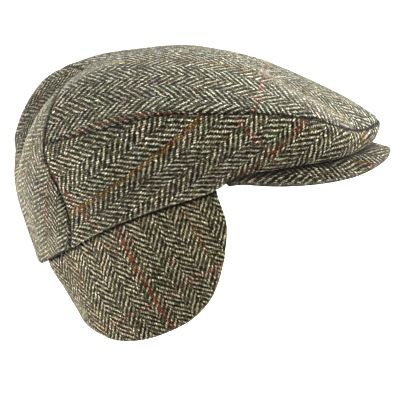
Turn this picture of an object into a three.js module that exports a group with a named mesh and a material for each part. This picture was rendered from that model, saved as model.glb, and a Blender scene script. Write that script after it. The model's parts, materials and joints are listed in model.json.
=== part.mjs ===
// Flat cap of herringbone tweed with a wrap-round ear flap, in millimetres, +Z up.
// The origin is the middle of the head opening, +X points to the peak, +Y to the wearer's left.
// Every shape is worked out in polar sections round the head: angle 0 is the front, 180 the back.
import * as THREE from "three";

// Driving dimensions
const clothWall = 2.0;
const flapWall = 3.0;
const peakWall = 2.6;
const seamGap = 0.4;
const peakGap = 0.7;
const crownHeight = 98.4;
const peakTuck = 2.0;
const peakCornerAngle = 72;
const flapInsert = 13;
const flapTopLean = 0.4;
const flapCrowding = 1.4;
const flapFrontAngle = { top: 77.2, rim: 76.6, middle: 72.8, low: 73.8 };

// The top panel's four corners: two at the front, two where the back panel's arch starts
const frontCornerAngle = 30;
const backSeamAngle = 151.3;

// How far the side-back seam bows forward halfway up, in degrees, and where the sides start to follow it
const seamBow = 3.4;
const bowStartAngle = 118;

// How finely each stretch is divided
const frontSteps = 6;
const sideSteps = 21;
const hemToFoldSteps = 3;
const foldToBellySteps = 4;
const bellyToSeamSteps = 4;
const peakSteps = 30;
const peakDepthSteps = 5;
const undersideSteps = 14;
const undersideLevels = 1.5;
const undersideReach = 3.5;
const flapHalfSteps = 16;
const flapInsertSteps = 2;
const flapDepthSteps = 4;

// Rings of the crown from the hem up to the middle of the top, each with a radius and a height.
// A row for each angle from the front round to the back; the other side is its mirror image.
const crownRings = ["hem", "fold", "belly", "seam", "shoulder", "upper", "crest"];
const crownSections = [
  // angle | hem r, z | fold r, z | belly r, z | seam r, z | shoulder r, z | upper r, z | crest r, z
  [0, 100.0, 33.0, 139.0, 26.0, 144.2, 34.5, 145.6, 42.3, 119.0, 61.4, 80.0, 77.8, 40.0, 92.7],
  [10, 98.5, 32.0, 133.6, 25.8, 139.8, 33.8, 138.2, 41.3, 111.4, 63.6, 76.0, 79.8, 38.0, 93.4],
  [20, 95.0, 30.0, 127.4, 24.9, 133.0, 34.0, 129.7, 43.3, 103.5, 65.9, 71.0, 82.3, 36.0, 93.8],
  [30, 91.8, 27.5, 117.4, 23.7, 124.5, 35.5, 121.9, 51.0, 98.0, 69.1, 67.0, 84.4, 34.0, 94.5],
  [40, 88.8, 24.5, 105.8, 22.4, 115.0, 38.0, 113.6, 58.0, 92.0, 72.4, 62.5, 86.1, 31.5, 95.0],
  [50, 86.2, 21.4, 97.0, 21.2, 107.0, 41.0, 106.0, 62.2, 85.5, 75.6, 58.0, 87.6, 29.5, 95.7],
  [60, 84.3, 18.0, 90.6, 20.0, 101.3, 42.5, 99.6, 64.9, 80.5, 77.4, 54.6, 88.5, 27.8, 96.0],
  [68, 83.4, 15.2, 87.2, 19.4, 98.2, 42.5, 96.0, 65.8, 77.6, 78.3, 52.8, 89.5, 26.8, 96.2],
  [72, 83.1, 12.9, 86.2, 19.0, 97.2, 42.2, 94.8, 66.0, 76.5, 78.7, 52.1, 89.9, 26.5, 96.3],
  [75, 82.8, 8.6, 85.4, 18.4, 96.6, 42.0, 93.9, 66.1, 75.5, 79.0, 51.5, 90.2, 26.2, 96.3],
  [90, 82.0, 1.8, 84.6, 15.5, 95.6, 40.0, 92.6, 66.3, 74.5, 80.1, 50.6, 90.6, 25.8, 96.6],
  [105, 83.4, -4.6, 86.6, 9.5, 98.0, 34.0, 95.8, 65.9, 76.5, 80.0, 52.4, 90.5, 26.6, 96.5],
  [120, 86.3, -13.8, 90.0, -0.5, 102.6, 25.0, 103.2, 58.8, 82.0, 76.9, 56.5, 89.1, 28.8, 96.5],
  [135, 91.6, -25.0, 95.0, -11.5, 109.0, 15.5, 112.0, 50.0, 89.0, 73.6, 61.5, 88.4, 31.0, 95.9],
  [151, 98.0, -41.0, 101.4, -27.0, 114.5, 9.5, 120.0, 39.5, 100.0, 73.4, 66.0, 89.4, 33.6, 96.2],
  [164, 102.8, -52.8, 108.1, -38.3, 127.2, 5.0, 126.2, 37.0, 109.0, 68.2, 69.6, 90.0, 35.2, 96.3],
  [172, 106.4, -59.4, 112.1, -44.6, 127.4, 6.0, 120.0, 36.0, 100.2, 65.6, 67.6, 87.6, 34.8, 95.8],
  [180, 107.8, -62.5, 113.6, -47.0, 127.0, 6.5, 115.6, 35.2, 95.0, 64.4, 66.0, 86.0, 34.4, 95.4],
];

// The back panel's arched top edge, from the side-back seam to the middle of the back.
// A row for each fold line of the panel: its angle and its level between the rings.
const backArch = [
  // angle, level
  [151.3, 3.0],
  [152.8, 3.45],
  [155.2, 3.85],
  [158.2, 4.2],
  [163.0, 4.52],
  [171.0, 4.72],
  [180.0, 4.78],
];

// The peak's top: its middle, where the crown lies over it, and its rim, a row for each angle
const peakSections = [
  // angle | middle r, z | rim r, z
  [0, 138.0, 26.1, 154.3, 21.6],
  [10, 132.5, 25.3, 149.8, 18.6],
  [20, 124.5, 22.8, 137.8, 12.8],
  [30, 113.0, 20.8, 124.2, 10.2],
  [40, 102.5, 19.2, 112.0, 9.8],
  [50, 95.0, 17.6, 102.4, 10.7],
  [60, 89.4, 15.6, 94.8, 11.8],
  [68, 86.4, 13.6, 89.6, 12.8],
  [72.0, 84.6, 11.9, 87.0, 11.8],
];

// The ear flap's lower edge, a row for each angle: how far the flap lies inside the hem,
// how much it bulges between hem and edge, and the edge's radius and height
const flapSections = [
  // angle, tuck, bulge, low r, low z
  [73.8, 2.7, 4.0, 85.4, -44.0],
  [75.4, 2.7, 4.5, 83.4, -58.4],
  [77.8, 2.7, 4.6, 81.2, -69.6],
  [81.2, 2.7, 4.6, 79.2, -77.2],
  [87.6, 2.7, 4.6, 77.0, -87.0],
  [94.2, 2.7, 4.8, 76.0, -93.2],
  [102.6, 2.7, 5.0, 76.4, -98.6],
  [111.6, 2.8, 5.0, 78.0, -103.6],
  [120.8, 3.0, 5.0, 80.0, -106.2],
  [128.3, 3.2, 4.6, 81.3, -107.5],
  [136.0, 3.6, 4.0, 82.4, -106.6],
  [147.0, 4.4, 3.0, 83.0, -103.4],
  [165.0, 5.6, 1.0, 79.5, -101.2],
  [180.0, 6.0, 0.0, 77.0, -102.0],
];

const tweed = { roughness: 0.95, metalness: 0 };
const cloth = { top: 0x85806a, side: 0x6f6a56, back: 0x6a6551, peak: 0x625c4a, flap: 0x5f5846 };
const radian = Math.PI / 180;

// How far apart the points are that give a surface's slope
const angleNudge = 0.5;
const levelNudge = 0.02;
const discNudge = 0.01;

// Values of a table's other columns at an angle, on a smooth curve through its rows.
// The slope is level at 0 and 180 degrees, where the two halves of the cap meet.
function rowAt(table, wanted) {
  const first = table[0][0];
  const last = table[table.length - 1][0];
  const angle = Math.min(Math.max(Math.abs(wanted), first), last);
  let k = 0;
  while (k < table.length - 2 && table[k + 1][0] < angle) {
    k += 1;
  }
  const span = table[k + 1][0] - table[k][0];
  const t = (angle - table[k][0]) / span;
  return table[k].slice(1).map((here, column) => {
    const next = table[k + 1][column + 1];
    const startSlope = slopeAt(table, k, column + 1) * span;
    const endSlope = slopeAt(table, k + 1, column + 1) * span;
    const h1 = 2 * t ** 3 - 3 * t ** 2 + 1;
    const h2 = t ** 3 - 2 * t ** 2 + t;
    return h1 * here + h2 * startSlope + (1 - h1) * next + (t ** 3 - t ** 2) * endSlope;
  });
}

function slopeAt(table, k, column) {
  const angle = table[k][0];
  if (angle === 0 || angle === 180) {
    return 0;
  }
  const before = table[Math.max(k - 1, 0)];
  const after = table[Math.min(k + 1, table.length - 1)];
  return (after[column] - before[column]) / (after[0] - before[0]);
}

function polar(angle, radius, height) {
  const turn = angle * radian;
  return new THREE.Vector3(radius * Math.cos(turn), radius * Math.sin(turn), height);
}

// One section of the crown as a curve from the hem (level 0) to the middle of the top (level 7)
const poleLevel = crownRings.length;
const seamLevel = crownRings.indexOf("seam");

function crownSection(angle) {
  const row = rowAt(crownSections, angle);
  const points = crownRings.map((_, k) => new THREE.Vector3(row[2 * k], row[2 * k + 1], 0));
  points.push(new THREE.Vector3(0, crownHeight, 0));
  return new THREE.CatmullRomCurve3(points, false, "centripetal");
}

function crownPoint(angle, level) {
  const section = crownSection(angle);
  const spot = section.getPoint(Math.min(Math.max(level / poleLevel, 0), 1));
  return polar(angle, spot.x, spot.y);
}

// The crown laid flat as a disc: the seam ring is the circle of radius 1, the pole its middle
function crownFromDisc(x, y) {
  const radius = Math.hypot(x, y);
  const angle = Math.atan2(y, x) / radian;
  return crownPoint(angle, poleLevel - (poleLevel - seamLevel) * radius);
}

function discPoint(angle, level) {
  const radius = (poleLevel - level) / (poleLevel - seamLevel);
  return new THREE.Vector2(radius * Math.cos(angle * radian), radius * Math.sin(angle * radian));
}

// Outward normal of a surface given as a function of two values, by small differences
function normalOf(surface, a, b, stepA, stepB) {
  const alongA = surface(a + stepA, b).sub(surface(a - stepA, b));
  const alongB = surface(a, b + stepB).sub(surface(a, b - stepB));
  return alongA.cross(alongB).normalize();
}

// A closed cloth wall from a grid of outer points and outward normals.
// The border is drawn in by half the seam gap, so that neighbouring walls stay clear.
function clothShell(name, outer, normals, wall, color) {
  const rows = outer.length - 1;
  const columns = outer[0].length - 1;
  const pulled = outer.map((row) => row.map((point) => point.clone()));
  const pull = (target, from, towards) => {
    target.addScaledVector(towards.clone().sub(from).normalize(), seamGap / 2);
  };
  for (let i = 0; i <= rows; i += 1) {
    pull(pulled[i][0], outer[i][0], outer[i][1]);
    pull(pulled[i][columns], outer[i][columns], outer[i][columns - 1]);
  }
  for (let j = 0; j <= columns; j += 1) {
    pull(pulled[0][j], outer[0][j], outer[1][j]);
    pull(pulled[rows][j], outer[rows][j], outer[rows - 1][j]);
  }
  const positions = [];
  const indices = [];
  const layer = (rows + 1) * (columns + 1);
  const at = (i, j, side) => side * layer + i * (columns + 1) + j;
  pulled.forEach((row) => row.forEach((point) => positions.push(point.x, point.y, point.z)));
  pulled.forEach((row, i) => row.forEach((point, j) => {
    const inner = point.clone().addScaledVector(normals[i][j], -wall);
    positions.push(inner.x, inner.y, inner.z);
  }));
  const quad = (a, b, c, d) => indices.push(a, b, c, a, c, d);
  for (let i = 0; i < rows; i += 1) {
    for (let j = 0; j < columns; j += 1) {
      quad(at(i, j, 0), at(i + 1, j, 0), at(i + 1, j + 1, 0), at(i, j + 1, 0));
      quad(at(i, j, 1), at(i, j + 1, 1), at(i + 1, j + 1, 1), at(i + 1, j, 1));
    }
  }
  for (let j = 0; j < columns; j += 1) {
    quad(at(0, j, 0), at(0, j + 1, 0), at(0, j + 1, 1), at(0, j, 1));
    quad(at(rows, j + 1, 0), at(rows, j, 0), at(rows, j, 1), at(rows, j + 1, 1));
  }
  for (let i = 0; i < rows; i += 1) {
    quad(at(i + 1, 0, 0), at(i, 0, 0), at(i, 0, 1), at(i + 1, 0, 1));
    quad(at(i, columns, 0), at(i + 1, columns, 0), at(i + 1, columns, 1), at(i, columns, 1));
  }
  const geometry = new THREE.BufferGeometry();
  geometry.setAttribute("position", new THREE.Float32BufferAttribute(positions, 3));
  geometry.setIndex(indices);
  const mesh = new THREE.Mesh(geometry, new THREE.MeshStandardMaterial({ ...tweed, color }));
  mesh.name = name;
  return mesh;
}

// Levels from the hem to the seam ring, and angles from the front to the side-back seam.
// Panels that share a seam use the same values, so their edges run side by side.
const wallLevels = [0];
[hemToFoldSteps, foldToBellySteps, bellyToSeamSteps].forEach((steps, ring) => {
  for (let k = 1; k <= steps; k += 1) {
    wallLevels.push(ring + k / steps);
  }
});
const seamAngles = [0];
for (let k = 1; k <= frontSteps; k += 1) {
  seamAngles.push((frontCornerAngle * k) / frontSteps);
}
for (let k = 1; k <= sideSteps; k += 1) {
  seamAngles.push(frontCornerAngle + ((backSeamAngle - frontCornerAngle) * k) / sideSteps);
}

// Angles past 180 degrees are read as the mirrored ones of the other side
function foldedPoint(angle, level) {
  return angle > 180 ? crownPoint(angle - 360, level) : crownPoint(angle, level);
}

function crownNormal(angle, level) {
  return normalOf(foldedPoint, angle, level, angleNudge, levelNudge);
}

function seamBowAt(level) {
  return seamBow * Math.sin((Math.PI * level) / seamLevel) ** 2;
}

function sidePanel(name, side) {
  const spots = seamAngles.map((angle) => {
    const share = THREE.MathUtils.smoothstep(angle, bowStartAngle, backSeamAngle);
    return wallLevels.map((level) => [side * (angle - share * seamBowAt(level)), level]);
  });
  const columns = side > 0 ? spots : spots.reverse();
  const outer = columns.map((column) => column.map(([angle, level]) => crownPoint(angle, level)));
  const normals = columns.map((column) => column.map(([angle, level]) => crownNormal(angle, level)));
  return clothShell(name, outer, normals, clothWall, cloth.side);
}

// Both halves of the arch, as angles that run on past 180 degrees, with their levels
function archRow(k) {
  const mirrored = k > frontSteps;
  const [angle, level] = backArch[mirrored ? 2 * frontSteps - k : k];
  return [mirrored ? 360 - angle : angle, level];
}

function backPanel() {
  const outer = [];
  const normals = [];
  for (let k = 0; k <= 2 * frontSteps; k += 1) {
    const hemAngle = backSeamAngle + ((360 - 2 * backSeamAngle) * k) / (2 * frontSteps);
    const [topAngle, topLevel] = archRow(k);
    const share = 1 - k / frontSteps;
    const spots = wallLevels.map((level) => {
      const up = level / seamLevel;
      return [THREE.MathUtils.lerp(hemAngle, topAngle, up) - share * seamBowAt(level), topLevel * up];
    });
    outer.push(spots.map(([angle, level]) => foldedPoint(angle, level)));
    normals.push(spots.map(([angle, level]) => crownNormal(angle, level)));
  }
  return clothShell("back_panel", outer, normals, clothWall, cloth.back);
}

function topPanel() {
  const across = 2 * frontSteps;
  const sideAngle = (l) => frontCornerAngle + (backSeamAngle - frontCornerAngle) * l;
  const front = (k) => discPoint(frontCornerAngle * (2 * k - 1), seamLevel);
  const back = (k) => discPoint(...archRow(Math.round((1 - k) * across)));
  const right = (l) => discPoint(-sideAngle(l), seamLevel);
  const left = (l) => discPoint(sideAngle(l), seamLevel);
  const between = (k, l) => front(k).lerp(back(k), l);
  const outer = [];
  const normals = [];
  for (let l = sideSteps; l >= 0; l -= 1) {
    const down = l / sideSteps;
    const rowPoints = [];
    const rowNormals = [];
    for (let k = 0; k <= across; k += 1) {
      const over = k / across;
      const spot = between(over, down);
      spot.addScaledVector(right(down), 1 - over).addScaledVector(left(down), over);
      spot.addScaledVector(between(0, down), over - 1).addScaledVector(between(1, down), -over);
      rowPoints.push(crownFromDisc(spot.x, spot.y));
      rowNormals.push(normalOf(crownFromDisc, spot.x, spot.y, discNudge, discNudge));
    }
    outer.push(rowPoints);
    normals.push(rowNormals);
  }
  return clothShell("top_panel", outer, normals, clothWall, cloth.top);
}

// How low the crown's cloth lies over a spot at this radius, where it folds under at the front
function crownUnderside(angle, radius) {
  const section = crownSection(angle);
  const steps = Array.from({ length: undersideSteps + 1 }, (_, k) => (undersideLevels * k) / undersideSteps);
  const spots = steps.map((level) => section.getPoint(level / poleLevel));
  const near = spots.filter((spot) => Math.abs(spot.x - radius) < undersideReach);
  return Math.min(...near.map((spot) => spot.y));
}

// The peak's top runs from just inside the hem, close under the crown, out to the rim
function peakPoint(angle, depth) {
  const [hemR, hemZ] = rowAt(crownSections, angle);
  const [middleR, middleZ, rimR, rimZ] = rowAt(peakSections, angle);
  const points = [
    new THREE.Vector3(hemR - peakTuck, hemZ - peakGap, 0),
    new THREE.Vector3(middleR, middleZ, 0),
    new THREE.Vector3(rimR, rimZ, 0),
  ];
  const spot = new THREE.CatmullRomCurve3(points, false, "centripetal").getPoint(depth);
  return polar(angle, spot.x, Math.min(spot.y, crownUnderside(angle, spot.x) - peakGap));
}

function peak() {
  const outer = [];
  const normals = [];
  for (let i = 0; i <= peakSteps; i += 1) {
    const angle = peakCornerAngle * (1 - (2 * i) / peakSteps);
    const depths = Array.from({ length: peakDepthSteps + 1 }, (_, j) => j / peakDepthSteps);
    outer.push(depths.map((depth) => peakPoint(angle, depth)));
    normals.push(depths.map((depth) => {
      const inside = Math.min(Math.max(depth, levelNudge), 1 - levelNudge);
      return normalOf(peakPoint, angle, inside, -angleNudge, levelNudge);
    }));
  }
  return clothShell("peak", outer, normals, peakWall, cloth.peak);
}

// The ear flap's point: spread from the right temple (-1) over the back (0) to the left temple (1),
// and level from its hidden top edge (0) past the hem (1) and its middle (2) to its lower edge (3)
function flapPoint(spread, level) {
  const first = flapSections[0][0];
  const lowAngle = first + (180 - first) * Math.pow(1 - Math.abs(spread), flapCrowding);
  const forward = Math.pow((180 - lowAngle) / (180 - first), 3);
  const angleOf = (part) => lowAngle + (flapFrontAngle[part] - flapFrontAngle.low) * forward;
  const [tuck, bulge, lowR, lowZ] = rowAt(flapSections, lowAngle);
  const [hemR, hemZ] = rowAt(crownSections, angleOf("rim"));
  const rimR = hemR - tuck;
  const points = [
    new THREE.Vector3(rimR - flapTopLean, hemZ + flapInsert, angleOf("top")),
    new THREE.Vector3(rimR, hemZ, angleOf("rim")),
    new THREE.Vector3((rimR + lowR) / 2 + bulge, (hemZ + lowZ) / 2, angleOf("middle")),
    new THREE.Vector3(lowR, lowZ, angleOf("low")),
  ];
  const spot = new THREE.CatmullRomCurve3(points, false, "centripetal").getPoint(level / 3);
  return polar(spread < 0 ? -spot.z : spot.z, spot.x, spot.y);
}

function earFlap() {
  const levels = [0];
  [flapInsertSteps, flapDepthSteps, flapDepthSteps].forEach((steps, part) => {
    for (let k = 1; k <= steps; k += 1) {
      levels.push(part + k / steps);
    }
  });
  const outer = [];
  for (let i = -flapHalfSteps; i <= flapHalfSteps; i += 1) {
    outer.push(levels.map((level) => flapPoint(i / flapHalfSteps, level)));
  }
  return clothShell("ear_flap", outer, gridNormals(outer), flapWall, cloth.flap);
}

// Outward normals of a grid of points, from each point's neighbours
function gridNormals(grid) {
  const clamp = (value, most) => Math.min(Math.max(value, 0), most);
  return grid.map((row, i) => row.map((_, j) => {
    const before = grid[clamp(i - 1, grid.length - 1)][j];
    const after = grid[clamp(i + 1, grid.length - 1)][j];
    const above = row[clamp(j - 1, row.length - 1)];
    const below = row[clamp(j + 1, row.length - 1)];
    return after.clone().sub(before).cross(below.clone().sub(above)).normalize();
  }));
}

const cap = new THREE.Group();
cap.add(topPanel());
cap.add(sidePanel("side_panel_right", -1));
cap.add(sidePanel("side_panel_left", 1));
cap.add(backPanel());
cap.add(peak());
cap.add(earFlap());

export default cap;
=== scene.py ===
import json
import math

import bpy
import numpy as np
from mathutils import Matrix, Vector, noise
from mathutils.kdtree import KDTree

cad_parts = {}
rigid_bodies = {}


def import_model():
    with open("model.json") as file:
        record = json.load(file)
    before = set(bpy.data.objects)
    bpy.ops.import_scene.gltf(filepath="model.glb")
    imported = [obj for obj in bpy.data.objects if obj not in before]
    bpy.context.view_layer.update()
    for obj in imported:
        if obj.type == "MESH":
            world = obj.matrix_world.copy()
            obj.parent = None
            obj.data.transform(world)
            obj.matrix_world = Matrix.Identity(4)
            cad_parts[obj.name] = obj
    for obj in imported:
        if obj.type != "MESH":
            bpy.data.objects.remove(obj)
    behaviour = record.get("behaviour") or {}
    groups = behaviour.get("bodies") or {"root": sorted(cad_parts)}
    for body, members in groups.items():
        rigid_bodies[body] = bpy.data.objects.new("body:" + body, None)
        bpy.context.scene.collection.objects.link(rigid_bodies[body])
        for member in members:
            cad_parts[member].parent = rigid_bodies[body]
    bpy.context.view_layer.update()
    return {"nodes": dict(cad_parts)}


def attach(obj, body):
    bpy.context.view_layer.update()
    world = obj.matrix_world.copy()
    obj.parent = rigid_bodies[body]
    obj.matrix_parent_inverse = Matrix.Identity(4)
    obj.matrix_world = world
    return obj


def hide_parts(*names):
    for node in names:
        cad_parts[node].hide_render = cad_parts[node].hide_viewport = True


# A flat cap of herringbone tweed with a wrap-round ear flap. Blender's units are metres, +X points
# to the peak, +Z up, and the origin is the middle of the head opening. Each cloth's dictionary
# gives its places and sizes in millimetres, and mm turns them into metres.
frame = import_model()
mm = 0.001


def pick(piece):
    if bpy.context.object and bpy.context.object.mode != "OBJECT":
        bpy.ops.object.mode_set(mode="OBJECT")
    bpy.ops.object.select_all(action="DESELECT")
    piece.select_set(True)
    bpy.context.view_layer.objects.active = piece


def applied(piece, kind, **settings):
    pick(piece)
    bpy.ops.object.modifier_add(type=kind)
    modifier = piece.modifiers[-1]
    for key, value in settings.items():
        setattr(modifier, key, value)
    bpy.ops.object.modifier_apply(modifier=modifier.name)


def readPoints(piece, what="co"):
    flat = np.zeros(len(piece.data.vertices) * 3)
    piece.data.vertices.foreach_get(what, flat)
    return flat.reshape(-1, 3)


def writePoints(piece, points):
    piece.data.vertices.foreach_set("co", points.ravel())
    piece.data.update()


# The picture: where the eye is, and how much of the cap's surroundings it takes in
picture = {
    "turn": math.radians(4.0),      # the cap is turned this far from a true side view
    "rise": math.radians(12.0),     # the eye looks down on it by this much
    "distance": 3.0,
    "aimRight": 0.01184,
    "aimUp": -0.01554,
    "width": 0.296,                 # metres across, at the cap
    "sensor": 36.0,
    "farthest": 60.0,
}


def placeCamera():
    turn = picture["turn"]
    rise = picture["rise"]
    level = math.cos(rise)
    away = Vector((-math.sin(turn) * level, -math.cos(turn) * level, math.sin(rise)))
    right = Vector((math.cos(turn), -math.sin(turn), 0.0))
    up = away.cross(right)
    aim = right * picture["aimRight"] + up * picture["aimUp"]
    facing = Matrix((right, up, away)).transposed()
    bpy.ops.object.camera_add(location=aim + away * picture["distance"], rotation=facing.to_euler())
    camera = bpy.context.object
    camera.name = "camera"
    camera.data.sensor_width = picture["sensor"]
    camera.data.lens = picture["sensor"] * picture["distance"] / picture["width"]
    camera.data.clip_end = picture["farthest"]
    bpy.context.scene.camera = camera


# Soft boxes: where each stands, how wide it is, and its power. They aim at the cap's middle.
lamps = {
    "overhead": {"at": (0.3, 0.9, 1.5), "size": 1.2, "power": 34.0},
    "rear_left": {"at": (-1.2, 1.6, 0.7), "size": 1.0, "power": 22.0},
    "rear_right": {"at": (1.6, 0.9, 0.8), "size": 1.0, "power": 78.0},
    "left": {"at": (-2.1, 0.3, -0.35), "size": 1.2, "power": 112.0},
    "front": {"at": (1.1, -1.95, 1.0), "size": 1.4, "power": 66.0},
}
room = {
    "floorLow": -0.36,
    "floorWide": 24.0,
    "floorColor": (0.9, 0.9, 0.9, 1),
    "floorRough": 0.8,
    "floorGlow": 1.0,
    "white": (1, 1, 1, 1),
    "sky": 0.28,
}


def placeLamps():
    for name, lamp in lamps.items():
        at = Vector(lamp["at"])
        aim = at.to_track_quat("Z", "Y").to_euler()
        bpy.ops.object.light_add(type="AREA", location=at, rotation=aim)
        light = bpy.context.object
        light.name = name
        light.data.shape = "SQUARE"
        light.data.size = lamp["size"]
        light.data.energy = lamp["power"]


def placeRoom():
    low = room["floorLow"]
    bpy.ops.mesh.primitive_plane_add(size=room["floorWide"], location=(0, 0, low))
    floor = bpy.context.object
    floor.name = "floor"
    paint = Paint("pale_floor")
    paint.finish({"Base Color": room["floorColor"], "Roughness": room["floorRough"],
                  "Emission Color": room["white"], "Emission Strength": room["floorGlow"]})
    floor.data.materials.append(paint.material)
    # white in the picture, without lighting the cap from below
    floor.visible_diffuse = False
    floor.visible_glossy = False
    floor.visible_shadow = False
    world = bpy.data.worlds.new("white_room")
    world.use_nodes = True
    sky = world.node_tree.nodes["Background"]
    sky.inputs["Color"].default_value = room["white"]
    sky.inputs["Strength"].default_value = room["sky"]
    bpy.context.scene.world = world
    bpy.context.scene.view_settings.view_transform = "Standard"


# A value in a material's nodes. Python's own signs on it add Math nodes.
class Wire:
    def __init__(self, paint, socket):
        self.paint = paint
        self.socket = socket

    def math(self, operation, first, second=0.0):
        return self.paint.node("ShaderNodeMath", {"operation": operation}, {0: first, 1: second})

    def run(self, operation, second=0.0):
        return self.math(operation, self, second)

    def __add__(self, other):
        return self.run("ADD", other)

    def __radd__(self, other):
        return self.run("ADD", other)

    def __sub__(self, other):
        return self.run("SUBTRACT", other)

    def __rsub__(self, other):
        return self.math("SUBTRACT", other, self)

    def __mul__(self, other):
        return self.run("MULTIPLY", other)

    def __rmul__(self, other):
        return self.run("MULTIPLY", other)

    def __truediv__(self, other):
        return self.run("DIVIDE", other)

    def __mod__(self, other):
        return self.run("FLOORED_MODULO", other)

    def __pow__(self, other):
        return self.run("POWER", other)

    def __lt__(self, other):
        return self.run("LESS_THAN", other)

    def __gt__(self, other):
        return self.run("GREATER_THAN", other)

    def other(self, output):
        return Wire(self.paint, self.socket.node.outputs[output])

    def floor(self):
        return self.run("FLOOR")

    def size(self):
        return self.run("ABSOLUTE")


class Paint:
    def __init__(self, name):
        self.material = bpy.data.materials.new(name)
        self.material.use_nodes = True
        self.tree = self.material.node_tree
        self.tree.nodes.clear()

    def node(self, kind, settings=None, inputs=None, output=0):
        made = self.tree.nodes.new(kind)
        for key, value in (settings or {}).items():
            setattr(made, key, value)
        for key, value in (inputs or {}).items():
            if isinstance(value, Wire):
                self.tree.links.new(value.socket, made.inputs[key])
            else:
                made.inputs[key].default_value = value
        return Wire(self, made.outputs[output]) if made.outputs else None

    def mixed(self, share, first, second):
        return self.node("ShaderNodeMix", {"data_type": "RGBA"}, {0: share, 6: first, 7: second}, 2)

    def between(self, share, first, second):
        return first + (second - first) * share

    def times(self, color, value):
        return self.node("ShaderNodeVectorMath", {"operation": "SCALE"}, {0: color, "Scale": value})

    def tinted(self, color, tint):
        return self.node("ShaderNodeVectorMath", {"operation": "MULTIPLY"}, {0: color, 1: tint})

    def drifted(self, color, clouds, amount):
        # clouds holds three unlike noises, one for each of the colour's parts
        least = 1 - amount / 2
        parts = {0: clouds, 1: (amount, amount, amount), 2: (least, least, least)}
        drift = self.node("ShaderNodeVectorMath", {"operation": "MULTIPLY_ADD"}, parts)
        return self.tinted(color, drift)

    def split(self, vector):
        return self.node("ShaderNodeSeparateXYZ", {}, {0: vector})

    def grain(self, place, scale, detail, output=0):
        return self.node("ShaderNodeTexNoise", {"noise_dimensions": "3D"},
                         {"Vector": place, "Scale": scale, "Detail": detail}, output)

    def joined(self, x, y, z=0.0):
        return self.node("ShaderNodeCombineXYZ", {}, {0: x, 1: y, 2: z})

    def chance(self, x, y):
        return self.node("ShaderNodeTexWhiteNoise", {"noise_dimensions": "2D"},
                         {"Vector": self.joined(x, y)})

    def reading(self, name):
        return self.node("ShaderNodeAttribute", {"attribute_name": name}, {}, "Fac")

    def rounded(self, across, narrow, power):
        # a thread's section: high in the middle, nothing at its sides
        return (1.0 - ((across - 0.5) * narrow).size() ** power).run("MAXIMUM", 0.0)

    def finish(self, inputs):
        shader = self.node("ShaderNodeBsdfPrincipled", {}, inputs)
        self.node("ShaderNodeOutputMaterial", {}, {"Surface": shader})


def linear(red, green, blue):
    # a screen's colour, 0 to 255, as the light that it stands for
    def one(level):
        share = level / 255
        return share / 12.92 if share <= 0.04045 else ((share + 0.055) / 1.055) ** 2.4
    return (one(red), one(green), one(blue), 1.0)


# The cloth: a two-and-two twill whose lines turn every ten ends, light warp and dark weft, with
# coloured overchecks both ways
weave = {
    "end": 1.40 * mm,            # across one warp thread
    "pick": 1.40 * mm,           # across one weft thread
    "column": 10,                # ends in each herringbone column
    "wander": 0.9,               # how far the threads stray, in threads
    "jitter": 1.5,               # and how far over a few threads
    "weftLow": 0.8,              # how high the weft stands beside the warp
    "float": 1.1,                # how unlike the threads' visible stretches are
    "fuzz": 1.5,                 # how much the loose fibres mottle the cloth
    "mottle": 1.6,               # the same for clumps of them, beside the fibres
    "speck": 2.6,
    "gap": 0.05,                 # painted shade: brightness deep between the threads
    "crest": 1.3,                # and on top of them
    "toneOwn": 0.5,              # how far a thread's own tone may be from its neighbours'
    "toneSlub": 0.9,             # and how far it drifts along the thread
    "slubPerThread": 0.16,
    "dull": 0.9,
    "fleckRate": 0.02,
    "fleckStretch": 5.0,         # threads along a fleck
    "fleckWarp": 0.6,
    "fleckWeft": 0.5,
    "light": linear(229, 222, 198),
    "lightOther": linear(194, 187, 159),
    "dark": linear(30, 26, 13),
    "darkOther": linear(60, 53, 30),
    "lightDull": linear(140, 134, 108),
    "darkDull": linear(102, 95, 64),
    "rust": linear(176, 88, 40),
    "yellow": linear(188, 150, 54),
    "red": linear(150, 44, 40),
    "blue": linear(92, 98, 122),
    "green": linear(104, 120, 66),
    "brokenFrom": 0.39,          # an overcheck shows where the noise is above this
    "brokenEdge": 5.5,
    "fadeFrom": 0.35,            # and changes from one colour to the other above this
    "fadeEdge": 3.0,
    "bleed": 0.4,                # how much of a warp overcheck shows on the weft
    "drift": 0.18,               # how far the cloth's tone and colour drift from place to place
    "wornAndLit": 0.6,                 # how pale the cloth is where it is wholly worn, and where a highlight is wholly painted
    "evened": 0.5,               # and how far the threads' painted shade is evened out there, as by matted fibre and by grazing light
    "evenedShade": 0.55,
    # how dark the painted shade at seams, under overhangs and in folds is, and how it fades
    "paintedShadeDark": 0.95,
    "paintedShadePower": 1.3,
    "fibreLong": 1.2,            # how fast the fibres change along their thread
    "fibreAcross": 4.0,
    "fibreRelief": 0.35,
    "mottleRelief": 0.5,
    "bump": 0.6 * mm,
    "bumpStrength": 0.8,
    "rough": 0.92,
    "gloss": 0.08,
    "sheen": 0.08,
    "sheenRough": 0.5,
    "sheenTint": (0.92, 0.91, 0.84, 1),
}

# Noises in the cloth, as (scale, detail)
grains = {
    "stray": (150.0, 2.0),
    "shake": (420.0, 1.0),
    "slub": (1.0, 1.0),
    "broken": (340.0, 2.0),
    "fibre": (1.6, 2.0),
    "mottle": (900.0, 2.0),
    "speck": (1500.0, 1.0),
    "driftWide": (45.0, 1.0),
    "driftNear": (130.0, 1.0),
}

# A thread's section, as (how narrow, how square), across it and along each stretch of it that shows
sections = {
    "warpAcross": (2.35, 1.6),
    "warpAlong": (2.1, 2.2),
    "weftAcross": (2.25, 2.0),
    "weftAlong": (2.05, 3.0),
}


def oneOf(number, first, wide):
    # where a thread is one of so many, counted from the first
    return (number - (first + (wide - 1) / 2)).size() < wide / 2


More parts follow.
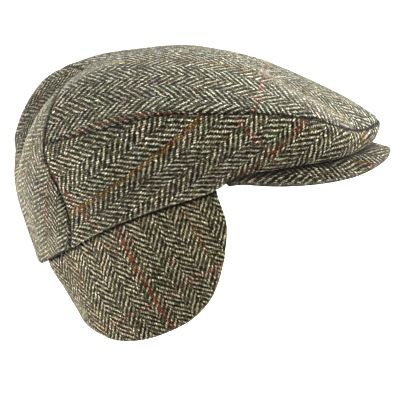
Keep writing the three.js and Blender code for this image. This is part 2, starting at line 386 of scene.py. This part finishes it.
def yarn(paint, chance, slub, dullness, names):
    # each thread has its own tone, which drifts along it, and dull stretches
    first, second, dull = [weave[name] for name in names]
    tone = chance * weave["toneOwn"] + (slub - 0.3) * weave["toneSlub"]
    return paint.mixed(dullness ** 3.0 * weave["dull"], paint.mixed(tone, first, second), dull)


def tweed(name, look):
    # look gives the cloth's tint, the width of its threads beside the common ones, and its overchecks
    paint = Paint(name)
    place = paint.node("ShaderNodeUVMap", {"uv_map": "cloth"})
    spot = paint.split(place)
    alongWeft = spot / (weave["end"] * look["ends"])
    alongWarp = spot.other(1) / (weave["pick"] * look["picks"])
    for kind, reach in (("stray", 2 * weave["wander"]), ("shake", weave["jitter"])):
        moved = paint.split(paint.grain(place, *grains[kind], 1))
        alongWeft = alongWeft + (moved.other(0) - 0.5) * reach
        alongWarp = alongWarp + (moved.other(1) - 0.5) * reach
    end = alongWeft.floor()
    pickNumber = alongWarp.floor()
    acrossEnd = alongWeft - end
    acrossPick = alongWarp - pickNumber

    # which thread is on top, and where on its visible stretch each spot lies
    odd = (end / weave["column"]).floor() % 2.0
    way = 1.0 - odd * 2.0
    turn = pickNumber + way * end + odd
    step = turn % 4.0
    warpUp = step < 1.5
    warpSpan = (step + acrossPick) * 0.5
    weftSpan = (way * (step - 2.5) + 0.5 + acrossEnd) * 0.5
    warpHeight = paint.rounded(acrossEnd, *sections["warpAcross"])
    warpHeight = warpHeight * paint.rounded(warpSpan, *sections["warpAlong"])
    weftHeight = paint.rounded(acrossPick, *sections["weftAcross"])
    weftHeight = weftHeight * paint.rounded(weftSpan, *sections["weftAlong"])
    height = paint.between(warpUp, weftHeight * weave["weftLow"], warpHeight)
    own = paint.chance(paint.between(warpUp, pickNumber + 0.5, end), (turn / 4.0).floor() * 3.0)

    # the yarns. The odd numbers here and below keep one chance from repeating another.
    slow = weave["slubPerThread"]
    slub = paint.grain(paint.joined(end * 7.3, alongWarp * slow), *grains["slub"])
    weftSlub = paint.grain(paint.joined(alongWeft * slow, pickNumber * 5.1), *grains["slub"])
    light = yarn(paint, paint.chance(end, 3.0), slub, 1.0 - own, ("light", "lightOther", "lightDull"))
    dark = yarn(paint, paint.chance(pickNumber, 11.0), weftSlub, own, ("dark", "darkOther", "darkDull"))

    # flecks of green, yellow and rust spun into both
    warpStretch = (alongWarp * (1 / weave["fleckStretch"])).floor()
    weftStretch = (alongWeft * (1 / weave["fleckStretch"])).floor()
    kind = paint.chance(end * 3.0 + 1.0, warpStretch * 5.0)
    fleckColor = paint.mixed(kind > 0.5, weave["green"], weave["yellow"])
    fleckColor = paint.mixed(kind > 0.75, fleckColor, weave["rust"])
    plain = 1.0 - weave["fleckRate"]
    warpFleck = paint.chance(end, warpStretch) > plain
    weftFleck = paint.chance(weftStretch, pickNumber * 7.0) > plain
    light = paint.mixed(warpFleck * weave["fleckWarp"], light, fleckColor)
    dark = paint.mixed(weftFleck * weave["fleckWeft"], dark, fleckColor)

    # the overchecks: three ends of rust and yellow and three of red, two picks of one colour and
    # three of another, all broken up by the weave
    warpCheck, weftCheck = look["checks"]
    broken = (paint.grain(place, *grains["broken"]) - weave["brokenFrom"]) * weave["brokenEdge"]
    fade = paint.grain(paint.joined(3.0, alongWarp * 0.2), *grains["slub"])
    fade = (fade - weave["fadeFrom"]) * weave["fadeEdge"]
    checkEnd = end % (2.0 * warpCheck)
    checkPick = pickNumber % (2.0 * weftCheck)
    rusty = paint.mixed(fade, weave["rust"], weave["yellow"])
    reddish = paint.mixed(fade, weave["red"], weave["rust"])
    warpPlaces = (oneOf(checkEnd, 0, 3), oneOf(checkEnd, warpCheck, 3))
    weftPlaces = (oneOf(checkPick, 0, 2), oneOf(checkPick, weftCheck, 3))
    for where, tint, strength in zip(warpPlaces, (rusty, reddish), look["warpColors"]):
        light = paint.mixed(where * broken * strength, light, tint)
        dark = paint.mixed(where * broken * (weave["bleed"] * strength), dark, tint)
    for where, tint, strength in zip(weftPlaces, look["weftTints"], look["weftColors"]):
        dark = paint.mixed(where * broken * strength, dark, weave[tint])

    # loose fibres, the painted shade in the gaps between threads, the pale worn places with painted
    # highlights, and the painted shade at seams, under overhangs and in the back's valley
    color = paint.mixed(warpUp, dark, light)
    slow, fast = weave["fibreLong"], weave["fibreAcross"]
    weftFibre = paint.grain(paint.joined(alongWeft * slow, alongWarp * fast), *grains["fibre"])
    warpFibre = paint.grain(paint.joined(alongWeft * fast, alongWarp * slow), *grains["fibre"])
    fibre = paint.between(warpUp, weftFibre, warpFibre)
    mottle = paint.grain(place, *grains["mottle"])
    speck = paint.grain(place, *grains["speck"])
    fuzz = 1.0 + (fibre - 0.5) * weave["fuzz"]
    fuzz = fuzz * (1.0 + (mottle - 0.5) * (weave["mottle"] * weave["fuzz"]))
    fuzz = fuzz * (1.0 + (speck - 0.5) * weave["speck"])
    # painted shade between the threads, from their height
    shade = weave["gap"] + height * (weave["crest"] - weave["gap"])
    shade = shade * fuzz * (1.0 + (own - 0.5) * weave["float"])
    # pale where the cloth is worn and where a highlight is painted, with the threads' painted shade
    # evened out there
    wornAndLit = paint.reading("wearAndHighlight")
    color = paint.mixed(wornAndLit * weave["wornAndLit"], color, weave["light"])
    shade = paint.between(wornAndLit * weave["evened"], shade, weave["evenedShade"])
    # painted shade at seams, under overhanging pieces and in the back's valley darkens the colour
    seam = paint.reading("paintedShade").run("MINIMUM", 1.0)
    seamLight = 1.0 - seam ** weave["paintedShadePower"] * weave["paintedShadeDark"]
    color = paint.tinted(paint.times(color, seamLight * shade), look["tint"])
    for kind in ("driftWide", "driftNear"):
        color = paint.drifted(color, paint.grain(place, *grains[kind], 1), weave["drift"])
    relief = height + (fibre - 0.5) * weave["fibreRelief"] + (mottle - 0.5) * weave["mottleRelief"]
    bump = paint.node("ShaderNodeBump", {}, {"Strength": weave["bumpStrength"],
                                             "Distance": weave["bump"], "Height": relief})
    paint.finish({"Base Color": color, "Roughness": weave["rough"], "Normal": bump,
                  "Specular IOR Level": weave["gloss"], "Sheen Weight": weave["sheen"],
                  "Sheen Roughness": weave["sheenRough"], "Sheen Tint": weave["sheenTint"]})
    return paint.material


# How the sheets are cut and sewn
sewing = {
    "weld": 0.02 * mm,                     # points nearer than this are one
    "turnsOver": math.radians(62),         # a sharper edge than this ends the sheet
    "roundsFrom": math.radians(55),        # a sharper edge than this is rounded
    "grainReach": 30,                      # how far round its place the grain's lean is measured
    "lineStep": 0.3 * mm,
    "touching": 0.001 * mm,
}


def outerSheet(cut):
    # the outer face of a solid's wall, as one sheet of quads
    pick(frame["nodes"][cut["node"]])
    bpy.ops.object.duplicate()
    sheet = bpy.context.object
    sheet.name = cut["name"]
    sheet.data.name = cut["name"]
    for key in list(sheet.keys()):
        del sheet[key]
    sheet.data.materials.clear()
    bpy.ops.mesh.customdata_custom_splitnormals_clear()
    bpy.ops.object.mode_set(mode="EDIT")
    bpy.ops.mesh.select_mode(type="EDGE")
    bpy.ops.mesh.select_all(action="SELECT")
    bpy.ops.mesh.remove_doubles(threshold=sewing["weld"])
    bpy.ops.mesh.tris_convert_to_quads(face_threshold=math.pi, shape_threshold=math.pi)
    bpy.ops.mesh.select_all(action="DESELECT")
    bpy.ops.mesh.edges_select_sharp(sharpness=sewing["turnsOver"])
    bpy.ops.mesh.mark_seam()
    bpy.ops.mesh.select_mode(type="FACE")
    bpy.ops.mesh.select_all(action="DESELECT")
    bpy.ops.object.mode_set(mode="OBJECT")
    seed = Vector(cut["seed"]) * mm
    nearest = min(sheet.data.polygons, key=lambda face: (face.center - seed).length)
    nearest.select = True
    bpy.ops.object.mode_set(mode="EDIT")
    bpy.ops.mesh.select_linked(delimit={"SEAM"})
    bpy.ops.mesh.select_all(action="INVERT")
    bpy.ops.mesh.delete(type="FACE")
    bpy.ops.object.mode_set(mode="OBJECT")
    sides = [len(face.vertices) for face in sheet.data.polygons]
    print(cut["name"], "quads", sides.count(4), "others", len(sides) - sides.count(4))
    return sheet


def layFlat(sheet, cut):
    # the sheet as it was cut from flat cloth, in metres, with the warp along V
    if not sheet.data.uv_layers:
        sheet.data.uv_layers.new(name="cloth")
    sheet.data.uv_layers[0].name = "cloth"
    pick(sheet)
    bpy.ops.object.mode_set(mode="EDIT")
    bpy.ops.mesh.select_all(action="SELECT")
    bpy.ops.uv.unwrap(method="ANGLE_BASED", margin=0.0)
    bpy.ops.object.mode_set(mode="OBJECT")
    mesh = sheet.data
    loops = np.zeros(len(mesh.loops), int)
    mesh.loops.foreach_get("vertex_index", loops)
    flat = np.zeros(len(mesh.loops) * 2)
    mesh.uv_layers["cloth"].data.foreach_get("uv", flat)
    flat = flat.reshape(-1, 2)
    corners = flat.reshape(-1, 4, 2)
    ahead = np.roll(corners, -1, axis=1)
    turns = corners[:, :, 0] * ahead[:, :, 1] - corners[:, :, 1] * ahead[:, :, 0]
    flatArea = abs(turns.sum()) / 2
    area = sum(face.area for face in mesh.polygons)
    scale = math.sqrt(area / flatArea)

    points = readPoints(sheet)
    normals = readPoints(sheet, "normal")
    uv = np.zeros((len(points), 2))
    uv[loops] = flat * scale
    middle = np.array(cut["grainAt"]) * mm
    reach = cut.get("grainReach", sewing["grainReach"]) * mm
    near = np.linalg.norm(points - middle, axis=1) < reach
    upright = normals[near].mean(axis=0)
    upright /= np.linalg.norm(upright)
    grain = np.array(cut["grain"], float)
    grain -= upright * grain.dot(upright)
    grain /= np.linalg.norm(grain)
    across = np.cross(grain, upright)
    spots = points[near] - points[near].mean(axis=0)
    guess = np.column_stack([spots @ across, spots @ grain, np.ones(near.sum())])
    fit = np.linalg.lstsq(guess, uv[near], rcond=None)[0]
    lean = math.atan2(fit[1][0], fit[1][1])
    turned = np.array([[math.cos(lean), -math.sin(lean)], [math.sin(lean), math.cos(lean)]])
    uv = uv @ turned.T
    if (fit[0] @ turned.T)[0] < 0:
        uv[:, 0] *= -1
    for axis, key in enumerate(("warpAt", "weftAt")):
        place = np.array(cut[key]) * mm
        uv[:, axis] -= uv[np.argmin(np.linalg.norm(points - place, axis=1)), axis]
    mesh.uv_layers["cloth"].data.foreach_set("uv", uv[loops].ravel())
    cut["flat"] = tuple(float(x) for x in uv.max(axis=0) - uv.min(axis=0))
    cut["area"] = float(area)


def borderRuns(sheet):
    # the border's points as four runs, each from one corner of the sheet to the next
    mesh = sheet.data
    uses = {}
    for face in mesh.polygons:
        for key in face.edge_keys:
            uses[key] = uses.get(key, 0) + 1
    beside = {}
    for (a, b), count in uses.items():
        if count == 1:
            beside.setdefault(a, []).append(b)
            beside.setdefault(b, []).append(a)
    faceCount = np.zeros(len(mesh.vertices), int)
    for face in mesh.polygons:
        faceCount[list(face.vertices)] += 1
    corners = [k for k in beside if faceCount[k] == 1]
    points = readPoints(sheet)
    runs = []
    before, here = beside[corners[0]][0], corners[0]
    while len(runs) < len(corners):
        run = [here]
        while True:
            ahead = [k for k in beside[here] if k != before][0]
            before, here = here, ahead
            run.append(here)
            if here in corners:
                break
        runs.append(points[run])
    return runs


def namedRuns(sheet, hints):
    runs = borderRuns(sheet)
    found = {}
    for name, hint in hints.items():
        place = np.array(hint) * mm
        found[name] = min(runs, key=lambda run: np.linalg.norm(run - place, axis=1).min())
    return found


def filled(line):
    fine = [line[0]]
    for start, end in zip(line[:-1], line[1:]):
        pieces = max(1, int(np.linalg.norm(end - start) / sewing["lineStep"]))
        for k in range(1, pieces + 1):
            fine.append(start + (end - start) * k / pieces)
    return fine


def distances(points, spots):
    tree = KDTree(len(spots))
    for k, spot in enumerate(spots):
        tree.insert(spot, k)
    tree.balance()
    return np.array([tree.find(point)[2] for point in points])


def waves(points, size, shift=0.0):
    # smooth ups and downs about this far apart, from -1 to 1
    move = Vector((shift, 0.7 * shift, 0.3 * shift))
    return np.array([noise.noise(Vector(point / size) + move) for point in points])


def falloff(away, width):
    # 1 on a line, and next to nothing beyond twice the width from it
    return np.exp(-((away / width) ** 2))


seamLook = {
    "depth": 0.9 * mm,
    "width": 1.2 * mm,
    "swell": 0.4 * mm,           # the cloth rises beside the seam
    "swellAt": 4.6 * mm,
    "swellWide": 3 * mm,
    "pucker": 0.12 * mm,
    "puckerSize": 4.2 * mm,
    "puckerFades": 6 * mm,
    "shade": 1.5 * mm,
    "reach": 7.0 * mm,           # folds die out this near to a seam
    "lap": 0.3 * mm,
}
# hems and rims are pale along their edge: wear, and a painted highlight where the edge catches the light
hemLook = {"paleWide": 1.3 * mm, "wornAndLit": 0.45}
clothLook = {"slack": 0.7 * mm, "slackSize": 36 * mm, "ripple": 0.16 * mm, "rippleSize": 12 * mm}
core = {"back": -50 * mm, "front": 70 * mm, "height": 15 * mm}     # a line through the crown's middle


def lapped(sheet, points, nearest):
    # the way out of the sheet, at the points on its seams, so that two cloths overlap there
    ends = np.zeros(len(sheet.data.edges) * 2, int)
    sheet.data.edges.foreach_get("vertices", ends)
    ends = ends.reshape(-1, 2)
    onSeam = nearest < sewing["touching"]
    ways = np.zeros(points.shape)
    for here, there in ((ends[:, 0], ends[:, 1]), (ends[:, 1], ends[:, 0])):
        out = onSeam[here] & ~onSeam[there]
        np.add.at(ways, here[out], points[here[out]] - points[there[out]])
    return ways / np.maximum(np.linalg.norm(ways, axis=1), sewing["touching"])[:, None]


# each finished sheet's outer points, so that painted shade can be put on a piece under it
skins = {}


def soften(sheet, cut):
    points = readPoints(sheet)
    normals = readPoints(sheet, "normal")
    runs = namedRuns(sheet, cut["borders"])
    rise = waves(points, clothLook["slackSize"]) * clothLook["slack"]
    rise += waves(points, clothLook["rippleSize"], 3.0) * clothLook["ripple"]
    puckers = waves(points, seamLook["puckerSize"], 5.0)
    paintedShade = np.zeros(len(points))
    wearAndHighlight = np.zeros(len(points))
    nearest = np.ones(len(points))
    # pale bands along worn borders: wear and a painted highlight
    for name in cut.get("wornAndLit", []):
        away = distances(points, filled(runs[name]))
        wearAndHighlight = np.maximum(wearAndHighlight, hemLook["wornAndLit"] * falloff(away, hemLook["paleWide"]))
    # painted shade along each seam, and puckers beside it
    for name in cut["seams"]:
        away = distances(points, filled(runs[name]))
        nearest = np.minimum(nearest, away)
        paintedShade = np.maximum(paintedShade, falloff(away, seamLook["shade"]))
        rise += seamLook["pucker"] * puckers * np.exp(-away / seamLook["puckerFades"])
    rise -= seamLook["depth"] * falloff(nearest, seamLook["width"])
    rise += seamLook["swell"] * falloff(nearest - seamLook["swellAt"], seamLook["swellWide"])
    atSeam = falloff(nearest, seamLook["reach"])
    for fold in cut.get("folds", []):
        line = np.array(fold["line"]) * mm
        away = distances(points, filled(smoothLine(line)))
        near = falloff(away, fold["width"] * mm)
        rise += fold["rise"] * mm * near * (1 - atSeam)
        paintedShade = np.maximum(paintedShade, fold.get("shade", 0.0) * near)
        wearAndHighlight = np.maximum(wearAndHighlight, fold.get("wornAndLit", 0.0) * near)

    # at a seam both cloths move the same way, straight out from the crown's core, so that they meet
    inside = np.zeros(points.shape)
    inside[:, 0] = np.clip(points[:, 0], core["back"], core["front"])
    inside[:, 2] = core["height"]
    outward = points - inside
    outward /= np.linalg.norm(outward, axis=1)[:, None]
    normals += (outward - normals) * atSeam[:, None]
    normals /= np.linalg.norm(normals, axis=1)[:, None]
    lap = lapped(sheet, points, nearest) * seamLook["lap"]
    writePoints(sheet, points + normals * rise[:, None] + lap)
    skins[cut["name"]] = readPoints(sheet)
    # painted shadow on a piece where it runs under another: darkest in the narrow gap, fading as it
    # widens
    if "tuckedUnder" in cut:
        cover = np.concatenate([skins[name] for name in cut["tuckedUnder"]])
        gap = distances(readPoints(sheet), cover) / mm
        deep = np.maximum(gap - cut["shadeFrom"], 0) / cut["shadeOver"]
        paintedShade = np.maximum(paintedShade, cut["shadeDepth"] * falloff(deep, 1))
    for name, values in (("paintedShade", paintedShade), ("wearAndHighlight", wearAndHighlight)):
        attribute = sheet.data.attributes.new(name=name, type="FLOAT", domain="POINT")
        attribute.data.foreach_set("value", values)


def smoothLine(line, steps=12):
    # a curve through all the points
    fine = []
    for k in range(len(line) - 1):
        before = line[max(k - 1, 0)]
        start, end = line[k], line[k + 1]
        after = line[min(k + 2, len(line) - 1)]
        bend = 2 * before - 5 * start + 4 * end - after
        twist = 3 * start - before - 3 * end + after
        for t in np.linspace(0, 1, steps, endpoint=False):
            fine.append(0.5 * (2 * start + (end - before) * t + bend * t ** 2 + twist * t ** 3))
    fine.append(line[-1])
    return np.array(fine)


def sewn(cut, paint):
    sheet = outerSheet(cut)
    corners = cut.get("corners", "PRESERVE_CORNERS")
    applied(sheet, "SUBSURF", levels=2, render_levels=2, boundary_smooth=corners)
    layFlat(sheet, cut)
    applied(sheet, "SUBSURF", levels=1, render_levels=1, boundary_smooth=corners)
    soften(sheet, cut)
    applied(sheet, "SOLIDIFY", thickness=cut["wall"] * mm, offset=-1.0, use_even_offset=False)
    applied(sheet, "BEVEL", limit_method="ANGLE", angle_limit=sewing["roundsFrom"],
            width=cut["round"] * mm, segments=2, use_clamp_overlap=True)
    pick(sheet)
    bpy.ops.object.shade_smooth()
    sheet.data.materials.append(paint)
    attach(sheet, "root")
    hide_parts(cut["node"])
    if "fill" in cut:
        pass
    elif "held" in cut:
        sides = [round(side, 3) for side in cut["flat"]]
        print(cut["name"], "cut to", sides, "area", round(cut["area"], 4))
    print(cut["name"], "triangles", sum(len(face.vertices) - 2 for face in sheet.data.polygons))


# Each cloth's tint, its threads' width beside the common ones, and its overchecks: how many ends
# and picks lie from one to the next, how strong the two of the warp and the two of the weft are,
# and the weft's colours. The tints' lightness also holds painted light and shade, set for how lit
# each cloth looks; the peak's dark tint is painted shade under the crown.
topWeave = {"tint": (0.82, 0.85, 0.84), "ends": 0.95, "picks": 0.98, "checks": (51, 55),
            "warpColors": (0.85, 0.7), "weftColors": (0.8, 0.8), "weftTints": ("blue", "red")}
sideWeave = {"tint": (0.97, 0.965, 0.92), "ends": 0.93, "picks": 0.96, "checks": (45, 52),
             "warpColors": (0.95, 1.0), "weftColors": (0.7, 1.0), "weftTints": ("blue", "red")}
# the side's cloth darkened: painted shade under the crown's edge
peakShadedWeave = dict(sideWeave, tint=(0.64, 0.62, 0.58))
backWeave = {"tint": (0.94, 0.925, 0.89), "ends": 0.74, "picks": 0.77, "checks": (56, 65),
             "warpColors": (0.5, 0.9), "weftColors": (0.5, 0.7), "weftTints": ("blue", "red")}
flapWeave = {"tint": (0.92, 0.86, 0.77), "ends": 0.8, "picks": 0.83, "checks": (46, 52),
             "warpColors": (0.35, 0.95), "weftColors": (1.0, 0.4), "weftTints": ("red", "blue")}

topCut = {
    "name": "top_panel_cloth",
    "node": "top_panel",
    "slot": "tweed_top",
    "wall": 2.0,
    "round": 0.5,
    "seed": (0, 0, 112),
    "grain": (0.99, -0.14, 0),
    "grainAt": (0, -40, 92),
    "warpAt": (2.3, -32.7, 95.1),
    "weftAt": (-26.5, -69.9, 81.3),
    "borders": {"front": (144, 0, 43), "right": (0, -92, 69), "left": (0, 92, 69), "arch": (-98, 0, 70)},
    "seams": ["front", "right", "left", "arch"],
    "held": "stretched",
    "restsOn": ["side_panel_right", "side_panel_left", "back_panel"],
    # a ridge over the front corner and the back's near ridge carried on over the top, each with a
    # painted highlight along it
    "folds": [
        {"line": [(50, -32, 86), (72, -52, 73), (92, -53, 64), (106, -54, 55), (116, -50, 47)],
         "rise": 2.3, "width": 8, "wornAndLit": 0.5},
        {"line": [(-50, -26, 93), (-62, -28, 90), (-75, -31, 85), (-84, -34, 81), (-91, -37, 77)],
         "rise": 1.4, "width": 5, "wornAndLit": 0.7},
    ],
}

sideCut = {
    "name": "side_panel_right_cloth",
    "node": "side_panel_right",
    "slot": "tweed_side",
    "wall": 2.0,
    "round": 0.6,
    "seed": (0, -106, 40),
    "grain": (0.766, 0.0, 0.643),
    "grainAt": (-16, -95, 48),
    "warpAt": (-15.6, -96.3, 47.8),
    "weftAt": (-33.0, -93.0, 27.0),
    "borders": {"hem": (2, -82, 2), "rear": (-104, -56, 5), "seam": (0, -92, 69), "front": (144, 0, 35)},
    "seams": ["rear", "seam", "front"],
    "wornAndLit": ["hem"],
    "held": "stretched",
    "restsOn": ["peak", "ear_flap"],
}

backCut = {
    "name": "back_panel_cloth",
    "node": "back_panel",
    "slot": "tweed_side",
    "wall": 2.0,
    "round": 0.6,
    "seed": (-136, 0, 10),
    "grain": (0, -0.44, 0.9),
    "grainAt": (-104, -44, -10),
    "warpAt": (-104.3, -41.2, -16.8),
    "weftAt": (-120, 0, -30),
    "borders": {
        "arch": (-98, 0, 70),
        "hem": (-108, 0, -62),
        "right": (-104, -56, 5),
        "left": (-104, 56, 5),
    },
    "seams": ["arch", "right", "left"],
    # the near ridge and the far ridge, each with a painted highlight along it, the valley between them,
    # its far wall darkened with painted shade, and the cloth from the near ridge down to the hem, made
    # pale with a painted highlight
    "folds": [
        {"line": [(-84, -36, 80), (-90, -39, 76), (-101, -42, 66), (-106, -43, 60), (-111, -44, 53),
                  (-116, -43, 42), (-120, -40, 30), (-123, -35, 18)],
         "rise": 2.0, "width": 5, "wornAndLit": 0.8},
        {"line": [(-82, 29, 83), (-90, 29, 78), (-99, 29, 70), (-105, 29, 63), (-114, 29, 50),
                  (-120, 29, 40), (-124, 27, 28)],
         "rise": 2.4, "width": 6, "wornAndLit": 0.2},
        {"line": [(-84, -12, 77), (-92, -13, 69), (-100, -14, 60), (-110, -14, 46), (-118, -12, 31)],
         "rise": -8.0, "width": 19},
        {"line": [(-97, 13, 64), (-100, 14, 60), (-110, 14, 46), (-118, 12, 31)],
         "rise": 0.0, "width": 18, "shade": 0.68},
        {"line": [(-96, -50, 70), (-108, -50, 50), (-118, -42, 25), (-122, -34, 0), (-118, -30, -25),
                  (-110, -30, -55)],
         "rise": 0.0, "width": 20, "wornAndLit": 0.45},
    ],
    "wornAndLit": ["hem"],
    "held": "stretched",
    "restsOn": ["side_panel_right", "side_panel_left", "ear_flap"],
}

peakCut = {
    "name": "peak_cloth",
    "node": "peak",
    "slot": "tweed_side",
    # painted shadow on the peak under the crown's lower edge
    "tuckedUnder": ["side_panel_right_cloth", "side_panel_left_cloth"],
    "shadeDepth": 0.9,
    "shadeFrom": 2.2,
    "shadeOver": 2.2,
    "wall": 3.0,
    "round": 0.9,
    "seed": (125, 0, 45),
    "grain": (1, 0, 0),
    "grainAt": (110, -58, 15.6),
    "grainReach": 20,
    "warpAt": (134, -37.6, 19.3),
    "weftAt": (110, -58, 15.6),
    "borders": {"rim": (154, 0, 22), "inner": (98, 0, 32)},
    "seams": [],
    # the rear corners stand up against the sides' hems
    "folds": [
        {"line": [(24, -81, 12), (38, -76, 14)], "rise": 1.9, "width": 13},
        {"line": [(24, 81, 12), (38, 76, 14)], "rise": 1.9, "width": 13},
    ],
    "wornAndLit": ["rim"],
}

flapCut = {
    "name": "ear_flap_cloth",
    "node": "ear_flap",
    "slot": "tweed_flap",
    # painted shadow on the flap just under the hems
    "tuckedUnder": ["side_panel_right_cloth", "side_panel_left_cloth", "back_panel_cloth"],
    "shadeDepth": 1.5,
    "shadeFrom": 2.3,
    "shadeOver": 1.7,
    "wall": 3.0,
    "round": 1.0,
    "corners": "ALL",
    "seed": (-5, -96, -60),
    "grain": (0.5, 0.0, -0.85),
    "grainAt": (-31, -78, -66),
    "warpAt": (-75.1, -49.5, -71.5),
    "weftAt": (-22, -78.7, -72.2),
    "borders": {"low": (-77, 0, -102)},
    "seams": [],
    "wornAndLit": ["low"],
    "fill": 0.15,
}


def mirrored(cut, name, node):
    # the same cut for the cap's other side
    def other(spot):
        return (spot[0], -spot[1], spot[2])
    twin = dict(cut, name=name, node=node)
    for key in ("seed", "grain", "grainAt", "warpAt", "weftAt"):
        twin[key] = other(cut[key])
    twin["borders"] = {key: other(spot) for key, spot in cut["borders"].items()}
    return twin


placeCamera()
placeLamps()
placeRoom()
print("camera, lamps and floor are set")

topTweed = tweed("tweed_top", topWeave)
sideTweed = tweed("tweed_side", sideWeave)
peakShadedTweed = tweed("tweed_peak_shaded", peakShadedWeave)
backTweed = tweed("tweed_back", backWeave)
flapTweed = tweed("tweed_flap", flapWeave)
print("tweeds are woven")

sewn(topCut, topTweed)
sewn(sideCut, sideTweed)
sewn(mirrored(sideCut, "side_panel_left_cloth", "side_panel_left"), sideTweed)
sewn(backCut, backTweed)
sewn(peakCut, peakShadedTweed)
sewn(flapCut, flapTweed)
print("all six pieces are sewn")
